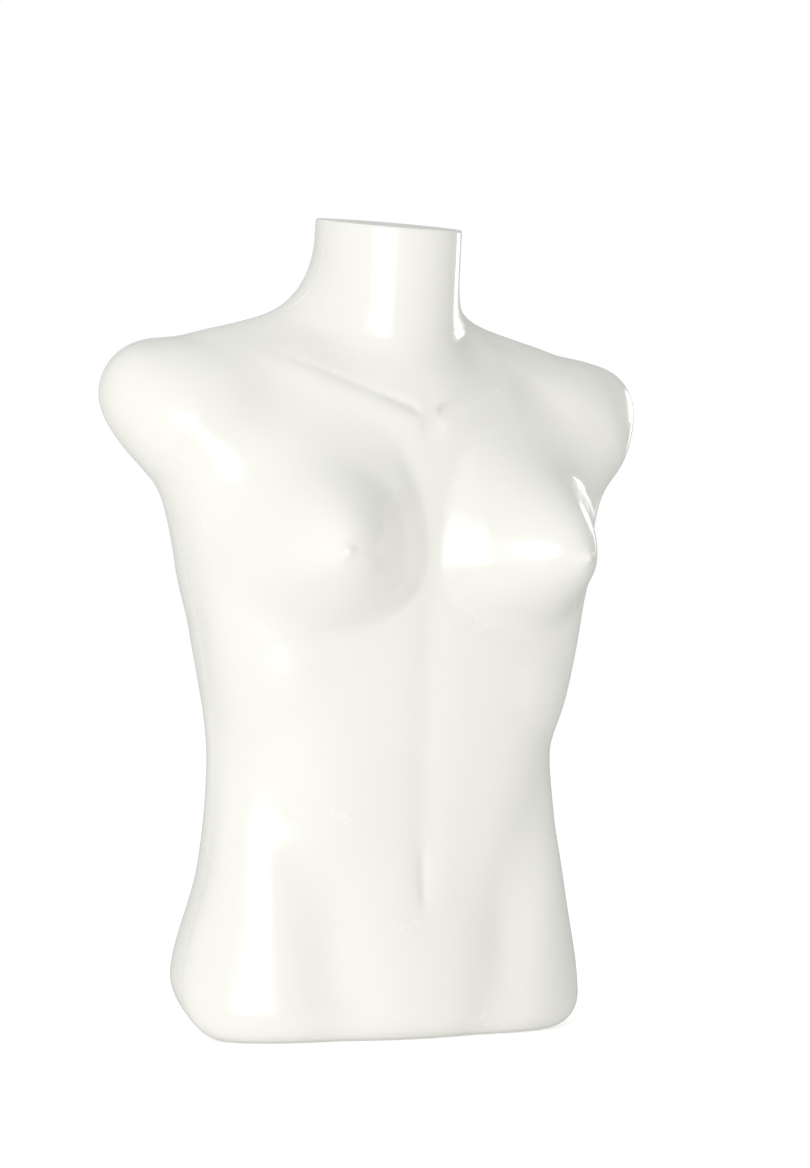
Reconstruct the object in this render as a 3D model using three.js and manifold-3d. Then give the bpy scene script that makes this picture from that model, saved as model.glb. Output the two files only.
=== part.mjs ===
// Tabletop torso display form: two moulded half shells joined on inner strips, a lift-off
// neck cap, and a recessed base board with a stand socket and its clamping thumb screw.
// Millimetres, +Z up, the front of the form faces -Y, mirror plane x = 0, it stands on z = 0.
import * as THREE from "three";
import { mergeVertices } from "three/addons/utils/BufferGeometryUtils.js";
import Module from "manifold-3d";

// ---------- driving dimensions ----------
const WALL = 3.0;            // shell wall
const GAP = 0.4;             // clearance between neighbouring pieces
const BASE_ROUND = 34;       // radius of the rolled bottom edge at the flanks
const ROUND_LEAN = 0.38;     // share by which that radius grows to the back and shrinks to the front
const ROUND_TURN = 20;       // how far from the flank most of that change has happened
const LIP = 9;               // flat inward lip the form stands on
const CENTRE_SHIFT = 12;     // moves the body so the origin is the middle of its bounding box

const NECK_CUT = 545;        // height of the neck cut where y is CUT_AT
const NECK_TILT = 0.15;      // slope of the neck cut, front lower
const CUT_AT = -8;
const RIM_MIDDLE = -2;       // y of the middle of the neck opening

const FRONT_STEP = 7.5;      // column spacing of the front half, degrees
const BACK_STEP = 9;         // column spacing of the back half, degrees

const BOARD_LOW = 36;        // underside of the base board
const BOARD_THICK = 8;
const BOARD_INSET = 2.2;     // how far the board stops short of the wall at the batten top
const BATTEN_THICK = 12;
const BATTEN_WIDTH = 18;

const SOCKET_Y = 6;          // stand socket axis, before the centre shift
const ROD_BORE = 22.6;       // takes a 22 mm stand rod
const TUBE_OUTER = 27;
const TUBE_TOP = 150;
const TUBE_LOW = 10;
const COLLAR_OUTER = 40;
const FLANGE_OUTER = 84;
const FLANGE_THICK = 3;
const CLAMP_Z = 19;          // height of the thumb screw axis
const CLAMP_THREAD = 8;
const KNOB_OUTER = 24;
const KNOB_LENGTH = 12;

// Trunk levels, the arm stubs, neck and breasts left out. Width is side to side; flank, front and
// back are distances from the plumb line through the standing plane.
const BASE = { level: 0, width: 293, flank: -6, front: 66, back: 80, fullness: [2.3, 2.4] };
const HIP = { level: 40, width: 297, flank: -3, front: 64, back: 86, fullness: [1.95, 2.4] };
const NAVEL = { level: 112, width: 263, flank: -6, front: 60, back: 77, fullness: [2.1, 2.4] };
const WAIST = { level: 178, width: 253, flank: -3, front: 62, back: 64, fullness: [2.5, 2.4] };
const CHEST = { level: 320, width: 286, flank: -7, front: 68, back: 92, fullness: [2.5, 2.3] };

// Above the chest the trunk closes like a dome towards the neck root.
const NECK_ROOT = 471;
const DOME_STEPS = 5;
const DOME_CLOSES = 0.8;     // share of the chest width that is gone at the neck root
const DOME_FRONT = 0.7;      // share of the front that is gone there
const DOME_BACK = 0.47;      // share of the back that is gone there
const DOME_LEAN = 21;        // how far the flank moves back on the way

const FOOT = 0.08;           // fillet round the foot of a mound, as a part of its height

// Axis of the body skin, from base to neck: place along it, half width of the axis ribbon,
// height, climb of the cross lines, centre y, and forward droop of the cross lines.
const AXIS = [
  [0.0, 70, 0, 0.0, -1, 0],
  [0.3, 58, 177, 0.0, 2, 0],
  [0.5, 68, 297, 0.0, 1, 0],
  [0.6, 90, 357, 0.0, 10, 0],
  [0.68, 112, 398, 0.05, 20, 0],
  [0.74, 105, 408, 0.35, 24, 0],
  [0.8, 62, 405, 0.75, 24, 0],
  [0.86, 18, 401, 1.35, 18, 0],
  [0.9, 4, 413, 1.45, 10, 0.05],
  [1.0, 0, NECK_CUT, 0.0, CUT_AT, NECK_TILT],
];

// ---------- small maths ----------
const clamp = (v, lo, hi) => Math.min(Math.max(v, lo), hi);
const ease = (t) => t * t * (3 - 2 * t);
const rad = THREE.MathUtils.degToRad;

function softMin(a, b, k) {
  const h = clamp(0.5 + (0.5 * (b - a)) / k, 0, 1);
  return b * (1 - h) + a * h - k * h * (1 - h);
}

// Smooth curve through a table, column `col` read against column 0.
function curve(table, at, col) {
  const last = table.length - 1;
  const x = clamp(at, table[0][0], table[last][0]);
  let i = 0;
  while (i < last - 1 && x > table[i + 1][0]) i += 1;
  const step = (k) => table[k + 1][0] - table[k][0];
  const rise = (k) => (table[k + 1][col] - table[k][col]) / step(k);
  const slope = (k) => {
    if (k === 0) return rise(0);
    if (k === last) return rise(last - 1);
    return (rise(k) * step(k - 1) + rise(k - 1) * step(k)) / (step(k - 1) + step(k));
  };
  const h = step(i);
  const t = (x - table[i][0]) / h;
  const a = table[i][col];
  const b = table[i + 1][col];
  return (2 * t ** 3 - 3 * t ** 2 + 1) * a + (t ** 3 - 2 * t ** 2 + t) * h * slope(i)
    + (3 * t ** 2 - 2 * t ** 3) * b + (t ** 3 - t ** 2) * h * slope(i + 1);
}

// Distance to a round bar from a to b whose radius runs from ra to rb.
function bar(x, y, z, a, b, ra, rb) {
  const [dx, dy, dz] = [b[0] - a[0], b[1] - a[1], b[2] - a[2]];
  const along = (x - a[0]) * dx + (y - a[1]) * dy + (z - a[2]) * dz;
  const h = clamp(along / (dx * dx + dy * dy + dz * dz), 0, 1);
  const off = Math.hypot(x - a[0] - h * dx, y - a[1] - h * dy, z - a[2] - h * dz);
  return off - (ra + (rb - ra) * h);
}

// Lets a mound of height v meet the ground round it in a small fillet.
function foot(v) {
  return (v - FOOT * (1 - Math.exp(-v / FOOT))) / (1 - FOOT);
}

// Soft mound, 1 at its middle, with its own reach inward, outward, down and up. It is fullest
// at its low inner side, by the full power, and thins out by the thin power opposite. A peak
// below 1 draws its middle to more of a point.
function mound(x, z, cx, cz, inward, outward, down, up, full = 2, thin = 2, peak = 1) {
  const tx = x < cx ? (x - cx) / inward : (x - cx) / outward;
  const tz = z < cz ? (z - cz) / down : (z - cz) / up;
  const t2 = Math.min(tx * tx + tz * tz, 1) ** peak;
  return foot((1 - t2) ** (full + (thin - full) * ease(clamp(0.45 + 0.4 * tz + 0.85 * tx, 0, 1))));
}

// Soft valley along a line of front-view points.
function valley(x, z, points, reach) {
  let near = Infinity;
  for (let i = 0; i + 1 < points.length; i += 1) {
    const [ax, az] = points[i];
    const [dx, dz] = [points[i + 1][0] - ax, points[i + 1][1] - az];
    const h = clamp(((x - ax) * dx + (z - az) * dz) / (dx * dx + dz * dz), 0, 1);
    near = Math.min(near, Math.hypot(x - ax - h * dx, z - az - h * dz));
  }
  return Math.exp(-((near / reach) ** 2));
}

// ---------- the body form ----------
// One trunk section: height, half width, centre y, front depth, back depth, front and back fullness.
function section(level, width, flank, front, back, fullness) {
  return [level, width / 2, flank, front + flank, back - flank, ...fullness];
}

function domeSection(t) {
  return section(
    CHEST.level + (NECK_ROOT - CHEST.level) * t,
    CHEST.width * (1 - DOME_CLOSES * t ** 2.3),
    CHEST.flank + DOME_LEAN * t,
    CHEST.front * (1 - DOME_FRONT * t ** 4),
    CHEST.back * (1 - DOME_BACK * t ** 2),
    CHEST.fullness.map((full) => full + (2 - full) * t),
  );
}

const SECTIONS = [BASE, HIP, NAVEL, WAIST].map(
  (at) => section(at.level, at.width, at.flank, at.front, at.back, at.fullness),
);
for (let i = 0; i <= DOME_STEPS; i += 1) SECTIONS.push(domeSection(i / DOME_STEPS));

function trunk(x, y, z) {
  const roll = BASE_ROUND * (1 + (ROUND_LEAN * y) / Math.hypot(y, ROUND_TURN));
  const low = clamp(roll - z, 0, roll);
  const inset = roll - Math.sqrt(Math.max(roll ** 2 - low ** 2, 0));
  const width = curve(SECTIONS, z, 1) - inset;
  const dy = y - curve(SECTIONS, z, 2);
  const depth = curve(SECTIONS, z, dy < 0 ? 3 : 4) - inset;
  const power = curve(SECTIONS, z, dy < 0 ? 5 : 6);
  const rho = (Math.abs(x / width) ** power + Math.abs(dy / depth) ** power) ** (1 / power);
  const side = Math.hypot(x, dy) * (1 - 1 / (rho + 1e-9));
  return Math.max(side, z - NECK_ROOT);
}

// How far the front stands out from the trunk: breasts, hips, belly, upper chest and ribs, less the
// valley from flank to groin.
function frontRelief(x, z) {
  const breast = 30 * mound(x, z, 84, 318, 82, 74, 52, 112, 1.1, 2.9)
    + 24 * mound(x, z, 89, 320, 66, 62, 51, 72, 1.3, 1.9, 0.82);
  const hip = 6 * mound(x, z, 100, 92, 46, 50, 110, 64);
  const belly = 2.5 * mound(x, z, 0, 60, 70, 70, 90, 90);
  const chest = 3 * mound(x, z, 106, 428, 62, 50, 60, 46);
  const rib = 2.2 * mound(x, z, 92, 236, 30, 34, 30, 34);
  const groin = valley(x, z, [[112, 190], [94, 140], [78, 99], [67, 57], [56, 15], [52, -30]], 24);
  return breast + hip + belly + chest + rib - 6.5 * groin;
}

// The same for the back: seat and shoulder blades, less the hollow of the spine.
function backRelief(x, z) {
  const seat = 9 * mound(x, z, 60, 12, 60, 66, 60, 84);
  const blade = 6 * mound(x, z, 74, 372, 60, 52, 84, 52);
  return seat + blade - 4.5 * valley(x, z, [[0, 90], [0, 370]], 17);
}

// Signed depth of the body skin: negative inside, zero on the skin.
function form(x, y, z) {
  const sx = Math.sqrt(x * x + 25);
  const ax = Math.abs(x);
  let d = trunk(x, y, z);
  const joint = bar(sx, y, z, [70, 9, 430], [170, 19, 427], 39, 31);
  const ridge = bar(sx, y, z, [60, 33, 448], [156, 41, 439], 23, 22);
  const armpit = bar(sx, y, z, [142, 10, 402], [104, 6, 330], 31, 36);
  const pectoral = bar(sx, y, z, [144, -2, 402], [88, -24, 352], 31, 37);
  const shoulder = softMin(softMin(softMin(joint, ridge, 22), armpit, 40), pectoral, 30);
  d = softMin(d, shoulder, 35);
  const neck = bar(x * 1.02, y, z, [0, 12, 412], [0, -7, 640], 51, 50);
  const slope = bar(sx, y, z, [28, 28, 480], [110, 25, 444], 20, 22);
  d = softMin(d, softMin(neck, slope, 40), 22);
  d -= ease(clamp((12 - y) / 40, 0, 1)) * frontRelief(ax, z);
  d -= ease(clamp((y - 24) / 30, 0, 1)) * backRelief(ax, z);
  return d;
}

function outward(p) {
  const e = 0.05;
  const n = new THREE.Vector3(
    form(p.x + e, p.y, p.z) - form(p.x - e, p.y, p.z),
    form(p.x, p.y + e, p.z) - form(p.x, p.y - e, p.z),
    form(p.x, p.y, p.z + e) - form(p.x, p.y, p.z - e),
  );
  return n.normalize();
}

// Point of the body skin on the cross line at place `v` along the axis, turned by `deg`
// (0 is the front, 90 the left flank, 180 the back).
function skin(v, deg) {
  const [w, z0, climb, yc, droop] = [1, 2, 3, 4, 5].map((c) => curve(AXIS, v, c));
  const sa = Math.sin(rad(deg));
  const ca = Math.cos(rad(deg));
  const at = (t) => new THREE.Vector3((w + t) * sa, yc - t * ca, z0 + climb * t - droop * t * ca);
  const depth = (t) => {
    const p = at(t);
    return form(p.x, p.y, p.z);
  };
  let lo = 2;
  let hi = 2;
  while (hi < 200 && depth(hi) < 0) {
    lo = hi;
    hi += 5;
  }
  for (let i = 0; i < 20; i += 1) {
    const mid = (lo + hi) / 2;
    if (depth(mid) < 0) lo = mid;
    else hi = mid;
  }
  return at((lo + hi) / 2);
}

const placeOfHeight = (z) => {
  let lo = 0;
  let hi = 0.5;
  for (let i = 0; i < 24; i += 1) {
    const mid = (lo + hi) / 2;
    if (curve(AXIS, mid, 2) < z) lo = mid;
    else hi = mid;
  }
  return lo;
};

// The same point moved inward by `inset`, kept in its own plane at the rims.
function wallPoint(v, deg, inset, keep) {
  const p = skin(v, deg);
  if (inset === 0) return p;
  const n = outward(p);
  if (keep) n.addScaledVector(keep, -n.dot(keep)).normalize();
  return p.addScaledVector(n, -inset);
}

// ---------- mesh builders ----------
function toGeometry(points, faces) {
  const geometry = new THREE.BufferGeometry();
  const flat = points.flatMap((p) => [p.x, p.y, p.z]);
  geometry.setAttribute("position", new THREE.Float32BufferAttribute(flat, 3));
  geometry.setIndex(faces.flat());
  return geometry;
}

// Closed body between an outer and an inner sheet of points with the same rows and columns.
function sheetBody(outer, inner) {
  const rows = outer.length;
  const cols = outer[0].length;
  const points = [...outer.flat(), ...inner.flat()];
  const o = (i, j) => i * cols + j;
  const n = (i, j) => rows * cols + i * cols + j;
  const faces = [];
  const quad = (a, b, c, d) => faces.push([a, b, c], [a, c, d]);
  for (let i = 0; i + 1 < rows; i += 1) {
    for (let j = 0; j + 1 < cols; j += 1) {
      quad(o(i, j), o(i, j + 1), o(i + 1, j + 1), o(i + 1, j));
      faces.push([n(i, j), n(i + 1, j + 1), n(i, j + 1)], [n(i, j), n(i + 1, j), n(i + 1, j + 1)]);
    }
    quad(o(i, 0), o(i + 1, 0), n(i + 1, 0), n(i, 0));
    quad(o(i + 1, cols - 1), o(i, cols - 1), n(i, cols - 1), n(i + 1, cols - 1));
  }
  for (let j = 0; j + 1 < cols; j += 1) {
    quad(o(0, j + 1), o(0, j), n(0, j), n(0, j + 1));
    quad(o(rows - 1, j), o(rows - 1, j + 1), n(rows - 1, j + 1), n(rows - 1, j));
  }
  return toGeometry(points, faces);
}

// Closed ring: every loop of `rings` is one turn round the ring, the rings close on themselves.
function ringBody(rings) {
  const rows = rings.length;
  const cols = rings[0].length;
  const at = (i, j) => (i % rows) * cols + (j % cols);
  const faces = [];
  for (let i = 0; i < rows; i += 1) {
    for (let j = 0; j < cols; j += 1) {
      faces.push([at(i, j), at(i, j + 1), at(i + 1, j + 1)]);
      faces.push([at(i, j), at(i + 1, j + 1), at(i + 1, j)]);
    }
  }
  return toGeometry(rings.flat(), faces);
}

// Turned piece; the profile is a list of [radius, height] pairs.
function turned(profile, sides, closed = false) {
  const path = profile.map(([r, h]) => new THREE.Vector2(r, h));
  if (closed) path.push(path[0].clone());
  const lathe = new THREE.LatheGeometry(path, sides);
  lathe.deleteAttribute("uv");
  lathe.deleteAttribute("normal");
  return mergeVertices(lathe, 1e-4).rotateX(Math.PI / 2);
}

function slab(outline, holes, low, thick) {
  const shape = new THREE.Shape(outline.map((p) => new THREE.Vector2(p.x, p.y)));
  for (const [x, y, r, sides] of holes) {
    const path = new THREE.Path();
    for (let i = 0; i < sides; i += 1) {
      const a = (-2 * Math.PI * i) / sides;
      const point = [x + r * Math.cos(a), y + r * Math.sin(a)];
      if (i === 0) path.moveTo(...point);
      else path.lineTo(...point);
    }
    path.closePath();
    shape.holes.push(path);
  }
  const body = new THREE.ExtrudeGeometry(shape, { depth: thick, bevelEnabled: false });
  body.deleteAttribute("uv");
  body.deleteAttribute("normal");
  return mergeVertices(body, 1e-4).translate(0, 0, low);
}

const wasm = await Module();
wasm.setup();

function toSolid(geometry) {
  const mesh = new wasm.Mesh({
    numProp: 3,
    vertProperties: new Float32Array(geometry.attributes.position.array),
    triVerts: new Uint32Array(geometry.index.array),
  });
  mesh.merge();
  return new wasm.Manifold(mesh);
}

function fromSolid(solid) {
  const { vertProperties, triVerts } = solid.getMesh();
  const geometry = new THREE.BufferGeometry();
  geometry.setAttribute("position", new THREE.Float32BufferAttribute(vertProperties, 3));
  geometry.setIndex([...triVerts]);
  return geometry;
}

// Turns the faces outward when a body was built inside out.
function faceOutward(geometry) {
  const p = geometry.attributes.position;
  const index = geometry.index.array;
  let volume = 0;
  const [a, b, c] = [new THREE.Vector3(), new THREE.Vector3(), new THREE.Vector3()];
  for (let i = 0; i < index.length; i += 3) {
    a.fromBufferAttribute(p, index[i]);
    b.fromBufferAttribute(p, index[i + 1]);
    c.fromBufferAttribute(p, index[i + 2]);
    volume += a.dot(b.cross(c));
  }
  if (volume < 0) {
    for (let i = 0; i < index.length; i += 3) {
      [index[i + 1], index[i + 2]] = [index[i + 2], index[i + 1]];
    }
  }
  return geometry;
}

// ---------- assembly ----------
const group = new THREE.Group();
const look = (colour, roughness, metalness = 0) => (
  new THREE.MeshStandardMaterial({ color: colour, roughness, metalness })
);
const GLOSS_WHITE = look("#f1f0ea", 0.12);
const CAP_WHITE = look("#efeee8", 0.2);
const FIBRE_TAPE = look("#d9d2bd", 0.75);
const BOARD = look("#c8ab80", 0.7);
const ZINC = look("#b9bdc1", 0.35, 0.9);
const STEEL = look("#a7abb0", 0.3, 0.95);
const BLACK_KNOB = look("#1c1c1e", 0.5);

function add(name, geometry, material) {
  const body = faceOutward(geometry).translate(0, CENTRE_SHIFT, 0);
  body.computeVertexNormals();
  const mesh = new THREE.Mesh(body, material);
  mesh.name = name;
  group.add(mesh);
}

// Places of the skin rows: close together round the rolled edge, then even up to the neck cut.
const rollPlaces = [0, 20, 40, 60, 78].map(
  (deg) => placeOfHeight(BASE_ROUND * (1 - Math.cos(rad(deg)))),
);
const firstEven = placeOfHeight(BASE_ROUND + 2);
const EVEN_ROWS = 33;
const places = [...rollPlaces];
for (let i = 0; i <= EVEN_ROWS; i += 1) {
  places.push(firstEven + ((1 - firstEven) * i) / EVEN_ROWS);
}
const range = (from, to, step) => {
  const count = Math.round((to - from) / step);
  return Array.from({ length: count + 1 }, (_, i) => from + ((to - from) * i) / count);
};
const FRONT_COLUMNS = range(-90, 90, FRONT_STEP);
const BACK_COLUMNS = range(90, 270, BACK_STEP);
const ALL_COLUMNS = [...FRONT_COLUMNS, ...BACK_COLUMNS.slice(1, -1)];

const UP = new THREE.Vector3(0, 0, 1);
const ACROSS = new THREE.Vector3(0, 1, 0);
const CUT_NORMAL = new THREE.Vector3(0, -NECK_TILT, 1).normalize();

// Half shells: skin rows plus the flat lip turned in under the bottom edge.
function halfShell(columns, partingStep) {
  const sheet = (inset) => places.map((v, i) => columns.map((deg, j) => {
    const rim = j === 0 || j === columns.length - 1;
    const top = i === places.length - 1;
    let p = wallPoint(v, deg, inset, rim ? ACROSS : null);
    if (top) p = wallPoint(v, deg, inset, CUT_NORMAL);
    if (i === 0) p.z = inset;
    if (rim) p.y = skin(v, deg).y + partingStep;
    return p;
  }));
  const outer = sheet(0);
  const inner = sheet(WALL);
  const lip = (row, z) => row.map((p, j) => {
    const rim = j === 0 || j === columns.length - 1;
    const n = outward(new THREE.Vector3(p.x, p.y, BASE_ROUND)).setZ(0).normalize();
    const q = p.clone().addScaledVector(n, -LIP).setZ(z);
    if (rim) q.y = p.y;
    return q;
  });
  inner[0].forEach((p, j) => p.copy(outer[0][j]).setZ(WALL));
  return sheetBody([lip(outer[0], 0), ...outer], [lip(outer[0], WALL), ...inner]);
}
add("front_shell", halfShell(FRONT_COLUMNS, -GAP / 2), GLOSS_WHITE);
add("back_shell", halfShell(BACK_COLUMNS, GAP / 2), GLOSS_WHITE);

// Bonding strips behind the parting line, one column to each side of it.
function strip(side, from, to) {
  const columns = side > 0 ? [90 - FRONT_STEP, 90, 90 + BACK_STEP] : [-90 - BACK_STEP, -90, -90 + FRONT_STEP];
  const rows = places.filter((v) => v > from && v < to);
  const sheet = (inset) => rows.map((v) => columns.map((deg) => wallPoint(v, deg, inset)));
  return sheetBody(sheet(WALL + GAP), sheet(WALL + GAP + 2));
}
for (const [word, side] of [["left", 1], ["right", -1]]) {
  add(`side_strip_${word}`, strip(side, placeOfHeight(62), 0.6), FIBRE_TAPE);
  add(`shoulder_strip_${word}`, strip(side, 0.605, 0.95), FIBRE_TAPE);
}

// Neck pieces are drawn from the rim of the cut and run down along the neck axis.
const NECK_AXIS = new THREE.Vector3(0, -19, 228).normalize();
const rimMiddle = new THREE.Vector3(0, RIM_MIDDLE, NECK_CUT + NECK_TILT * (RIM_MIDDLE - CUT_AT));
const rimPoint = (deg, inset, down) => (
  wallPoint(1, deg, inset, CUT_NORMAL).addScaledVector(NECK_AXIS, -down)
);
const holePoint = (deg, radius, down) => {
  const p = new THREE.Vector3(radius * Math.sin(rad(deg)), -radius * Math.cos(rad(deg)), 0);
  p.z = p.y * NECK_TILT;
  return p.add(rimMiddle).addScaledVector(NECK_AXIS, -down);
};
const RING_INSET = WALL + GAP;
const RING_THICK = 3;
const CAP_TOP = 0.4;
const CAP_THICK = 3;
const CAP_SKIRT = 12;
const FINGER_HOLE = 18;
const ringTop = CAP_TOP + CAP_THICK + GAP;
const ringProfile = [
  [RING_INSET, ringTop], [RING_INSET, ringTop + 14],
  [RING_INSET + RING_THICK, ringTop + 14], [RING_INSET + RING_THICK, ringTop],
];
add("neck_ring", ringBody(
  ringProfile.map(([inset, down]) => ALL_COLUMNS.map((deg) => rimPoint(deg, inset, down))),
), CAP_WHITE);

const skirt = RING_INSET + RING_THICK + 0.6;
const capProfile = [
  ["rim", WALL + 0.5, CAP_TOP + 0.8], ["rim", WALL + 0.5, CAP_TOP + CAP_THICK],
  ["rim", skirt, CAP_TOP + CAP_THICK], ["rim", skirt, CAP_TOP + CAP_THICK + CAP_SKIRT],
  ["rim", skirt + 2.4, CAP_TOP + CAP_THICK + CAP_SKIRT], ["rim", skirt + 2.4, CAP_TOP + CAP_THICK],
  ["hole", FINGER_HOLE / 2, CAP_TOP + CAP_THICK], ["hole", FINGER_HOLE / 2, CAP_TOP],
  ["rim", WALL + 1.3, CAP_TOP],
];
add("neck_cap", ringBody(capProfile.map(([kind, size, down]) => ALL_COLUMNS.map((deg) => (
  kind === "rim" ? rimPoint(deg, size, down) : holePoint(deg, size, down)
)))), CAP_WHITE);

// Base board, battens and their screws.
const boardTop = BOARD_LOW + BOARD_THICK;
const battenLow = boardTop + GAP;
const battenTop = battenLow + BATTEN_THICK;
const battenPlace = placeOfHeight(battenTop);
const outline = (columns, inset) => columns.map((deg) => wallPoint(battenPlace, deg, inset, UP));
const SCREW_HOLE = 2.4;
const SCREW_SIDES = 10;
const screwColumns = [-72, -30, 30, 72, 108, 153, 207, 252];
const screwSpots = screwColumns.map((deg) => wallPoint(battenPlace, deg, WALL + GAP + 10, UP));
const FLANGE_PITCH = FLANGE_OUTER / 2 - 9;
const flangeSpots = [45, 135, 225, 315].map((deg) => new THREE.Vector3(
  FLANGE_PITCH * Math.cos(rad(deg)),
  SOCKET_Y + FLANGE_PITCH * Math.sin(rad(deg)),
  0,
));
const pilot = (p) => [p.x, p.y, SCREW_HOLE, SCREW_SIDES];

const boardHoles = [...screwSpots, ...flangeSpots].map(pilot);
boardHoles.push([0, SOCKET_Y, TUBE_OUTER / 2 + 0.8, 24]);
const boardEdge = outline(ALL_COLUMNS, WALL + BOARD_INSET);
add("base_board", slab(boardEdge, boardHoles, BOARD_LOW, BOARD_THICK), BOARD);

function batten(columns, spots) {
  const edge = outline(columns, WALL + 2 * GAP);
  const inside = outline(columns, WALL + 2 * GAP + BATTEN_WIDTH).reverse();
  return slab([...edge, ...inside], spots.map(pilot), battenLow, BATTEN_THICK);
}
const trimmed = (columns) => columns.slice(1, -1);
add("batten_front", batten(trimmed(FRONT_COLUMNS), screwSpots.slice(0, 4)), BOARD);
add("batten_back", batten(trimmed(BACK_COLUMNS), screwSpots.slice(4)), BOARD);

function panScrew(seat, length) {
  const profile = [
    [0, seat - 2.6], [2.6, seat - 2.4], [4, seat - 1.3], [4, seat],
    [2, seat], [2, seat + length - 2], [0, seat + length],
  ];
  return turned(profile, SCREW_SIDES);
}
screwSpots.forEach((p, i) => {
  const screw = panScrew(BOARD_LOW - GAP, 18);
  add(`base_screw_${i + 1}`, screw.translate(p.x, p.y, 0), ZINC);
});

// Stand socket: flange, tube with its end plug, clamping collar and thumb screw.
const flangeTop = BOARD_LOW - GAP;
const flangeLow = flangeTop - FLANGE_THICK;
const disc = Array.from({ length: 36 }, (_, i) => new THREE.Vector2(
  (FLANGE_OUTER / 2) * Math.cos(rad(i * 10)),
  SOCKET_Y + (FLANGE_OUTER / 2) * Math.sin(rad(i * 10)),
));
const flangeHoles = flangeSpots.map(pilot);
flangeHoles.push([0, SOCKET_Y, TUBE_OUTER / 2 + 0.3, 24]);
add("stand_flange", slab(disc, flangeHoles, flangeLow, FLANGE_THICK), ZINC);
flangeSpots.forEach((p, i) => {
  const screw = panScrew(flangeLow - GAP, 12);
  add(`flange_screw_${i + 1}`, screw.translate(p.x, p.y, 0), ZINC);
});

const tubeProfile = [
  [ROD_BORE / 2, TUBE_LOW], [TUBE_OUTER / 2, TUBE_LOW],
  [TUBE_OUTER / 2, TUBE_TOP], [ROD_BORE / 2, TUBE_TOP],
];
const collarTop = flangeLow - GAP;
const collarProfile = [
  [TUBE_OUTER / 2 + 0.3, TUBE_LOW], [COLLAR_OUTER / 2 - 1, TUBE_LOW],
  [COLLAR_OUTER / 2, TUBE_LOW + 1], [COLLAR_OUTER / 2, collarTop],
  [TUBE_OUTER / 2 + 0.3, collarTop],
];
const drill = toSolid(
  turned([[0, 0], [CLAMP_THREAD / 2 + 0.3, 0], [CLAMP_THREAD / 2 + 0.3, 40], [0, 40]], 20)
    .rotateY(Math.PI / 2).translate(0, 0, CLAMP_Z),
);
const drilled = (profile) => fromSolid(toSolid(faceOutward(turned(profile, 32, true))).subtract(drill));
add("socket_tube", drilled(tubeProfile).translate(0, SOCKET_Y, 0), STEEL);
add("stand_collar", drilled(collarProfile).translate(0, SOCKET_Y, 0), ZINC);

const plugProfile = [
  [0, TUBE_TOP - 10], [ROD_BORE / 2 - 0.3, TUBE_TOP - 10], [ROD_BORE / 2 - 0.3, TUBE_TOP + GAP],
  [TUBE_OUTER / 2, TUBE_TOP + GAP], [TUBE_OUTER / 2, TUBE_TOP + 3], [0, TUBE_TOP + 3.5],
];
add("socket_plug", turned(plugProfile, 24).translate(0, SOCKET_Y, 0), BLACK_KNOB);

const tip = ROD_BORE / 2 + 0.7;
const knobStart = COLLAR_OUTER / 2 + 7;
const threadEnd = knobStart + KNOB_LENGTH - 3;
const threadProfile = [
  [0, tip], [CLAMP_THREAD / 2 - 0.8, tip], [CLAMP_THREAD / 2, tip + 0.8],
  [CLAMP_THREAD / 2, threadEnd], [0, threadEnd],
];
const clampPlace = (geometry) => geometry.rotateY(Math.PI / 2).translate(0, SOCKET_Y, CLAMP_Z);
add("thumb_screw", clampPlace(turned(threadProfile, 20)), STEEL);

// Knob: ten-lobed grip, bored for the screw.
const LOBES = 10;
const knobSides = LOBES * 4;
const knobRing = (scale, h) => Array.from({ length: knobSides }, (_, j) => {
  const a = (2 * Math.PI * j) / knobSides;
  const r = scale * (KNOB_OUTER / 2 - 0.9 + 0.9 * Math.cos(LOBES * a));
  return new THREE.Vector3(r * Math.cos(a), r * Math.sin(a), h);
});
const boreRing = (r, h) => Array.from({ length: knobSides }, (_, j) => {
  const a = (2 * Math.PI * j) / knobSides;
  return new THREE.Vector3(r * Math.cos(a), r * Math.sin(a), h);
});
const bore = CLAMP_THREAD / 2 + 0.3;
const knobEnd = knobStart + KNOB_LENGTH;
const knobRings = [
  boreRing(bore, knobStart), boreRing(7.5, knobStart), knobRing(0.9, knobStart + 2),
  knobRing(1, knobStart + 4), knobRing(1, knobEnd - 1.5), knobRing(0.9, knobEnd),
  boreRing(bore, knobEnd),
];
add("thumb_knob", clampPlace(ringBody(knobRings)), BLACK_KNOB);

export default group;
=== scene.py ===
"""Tabletop torso display form: fine surfaces, finishes, studio light and camera."""

import math

import bpy
import numpy as np
from mathutils import Matrix, Vector

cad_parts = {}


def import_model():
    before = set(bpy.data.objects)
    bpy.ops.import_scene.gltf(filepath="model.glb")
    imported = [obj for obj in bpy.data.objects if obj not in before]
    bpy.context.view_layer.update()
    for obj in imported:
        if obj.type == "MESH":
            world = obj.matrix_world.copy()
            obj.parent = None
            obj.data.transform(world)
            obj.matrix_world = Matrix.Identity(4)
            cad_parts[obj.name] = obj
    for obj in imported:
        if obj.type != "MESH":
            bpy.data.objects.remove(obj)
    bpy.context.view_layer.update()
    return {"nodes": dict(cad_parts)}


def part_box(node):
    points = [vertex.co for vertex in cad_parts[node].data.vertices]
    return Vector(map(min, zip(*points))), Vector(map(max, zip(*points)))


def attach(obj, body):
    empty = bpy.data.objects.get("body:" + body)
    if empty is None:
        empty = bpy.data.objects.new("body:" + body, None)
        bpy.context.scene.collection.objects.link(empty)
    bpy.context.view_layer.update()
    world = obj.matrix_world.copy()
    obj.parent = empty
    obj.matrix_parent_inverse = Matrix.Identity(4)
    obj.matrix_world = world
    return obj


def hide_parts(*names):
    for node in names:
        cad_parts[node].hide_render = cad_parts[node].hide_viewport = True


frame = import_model()

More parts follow.
